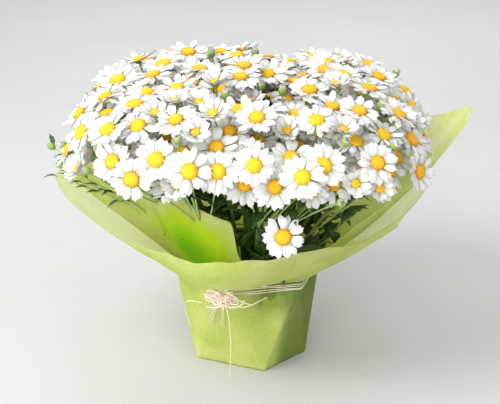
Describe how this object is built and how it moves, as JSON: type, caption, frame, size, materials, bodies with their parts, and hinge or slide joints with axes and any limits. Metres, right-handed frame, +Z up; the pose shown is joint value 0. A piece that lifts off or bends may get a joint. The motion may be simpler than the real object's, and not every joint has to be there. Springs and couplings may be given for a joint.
{
  "type": "bunch of daisies",
  "caption": "Dense dome of white daisies with yellow centres in a pot wrapped in translucent lime-green paper and tied at the neck with raffia.",
  "frame": {"origin": "middle of the flat face that the wrapped pot stands on", "axes": "+Z up, -Y towards the front with the raffia knot and the low edge of the paper, +X towards the tall wing of the paper"},
  "size_m": [0.4112, 0.342, 0.3092],
  "materials": {
    "daisy_petal": "satin",
    "daisy_centre": "matte",
    "stem": "satin",
    "leaf": "satin",
    "paper_outer": "satin",
    "paper_inner": "satin",
    "pot_plastic": "matte",
    "soil": "matte",
    "raffia": "matte"
  },
  "bodies": {
    "root": {"pot": "pot_plastic", "soil": "soil", "wrap_sheet_outer": "paper_outer", "wrap_sheet_inner": "paper_inner", "raffia_band": "raffia", "raffia_knot": "raffia", "raffia_tail_front": "raffia", "raffia_tail_left": "raffia", "raffia_tail_right": "raffia", "daisy_spray_01": "daisy_petal", "daisy_spray_02": "daisy_petal", "daisy_spray_03": "daisy_petal", "daisy_spray_04": "daisy_petal", "daisy_spray_05": "daisy_petal", "daisy_spray_06": "daisy_petal", "daisy_spray_07": "daisy_petal", "daisy_spray_08": "daisy_petal", "daisy_spray_09": "daisy_petal", "daisy_spray_10": "daisy_petal", "daisy_spray_11": "daisy_petal", "daisy_spray_12": "daisy_petal", "daisy_spray_13": "daisy_petal", "daisy_spray_14": "daisy_petal", "daisy_spray_15": "daisy_petal", "daisy_spray_16": "daisy_petal", "daisy_spray_17": "daisy_petal", "daisy_spray_18": "daisy_petal", "daisy_spray_19": "daisy_petal", "daisy_spray_20": "daisy_petal", "daisy_spray_21": "daisy_petal", "daisy_spray_22": "daisy_petal", "daisy_spray_23": "daisy_petal", "daisy_spray_24": "daisy_petal", "daisy_spray_25": "daisy_petal", "daisy_spray_26": "daisy_petal", "daisy_spray_27": "daisy_petal", "leaf_shoot_01": "leaf", "leaf_shoot_02": "leaf", "leaf_shoot_03": "leaf", "leaf_shoot_04": "leaf", "leaf_shoot_05": "leaf", "leaf_shoot_06": "leaf", "leaf_shoot_07": "leaf", "leaf_shoot_08": "leaf", "leaf_shoot_09": "leaf", "leaf_shoot_10": "leaf", "leaf_shoot_11": "leaf", "leaf_shoot_12": "leaf", "leaf_shoot_13": "leaf", "leaf_shoot_14": "leaf", "rim_leaf_1": "leaf", "rim_leaf_2": "leaf", "rim_leaf_3": "leaf", "rim_leaf_4": "leaf"}
  },
  "joints": []
}
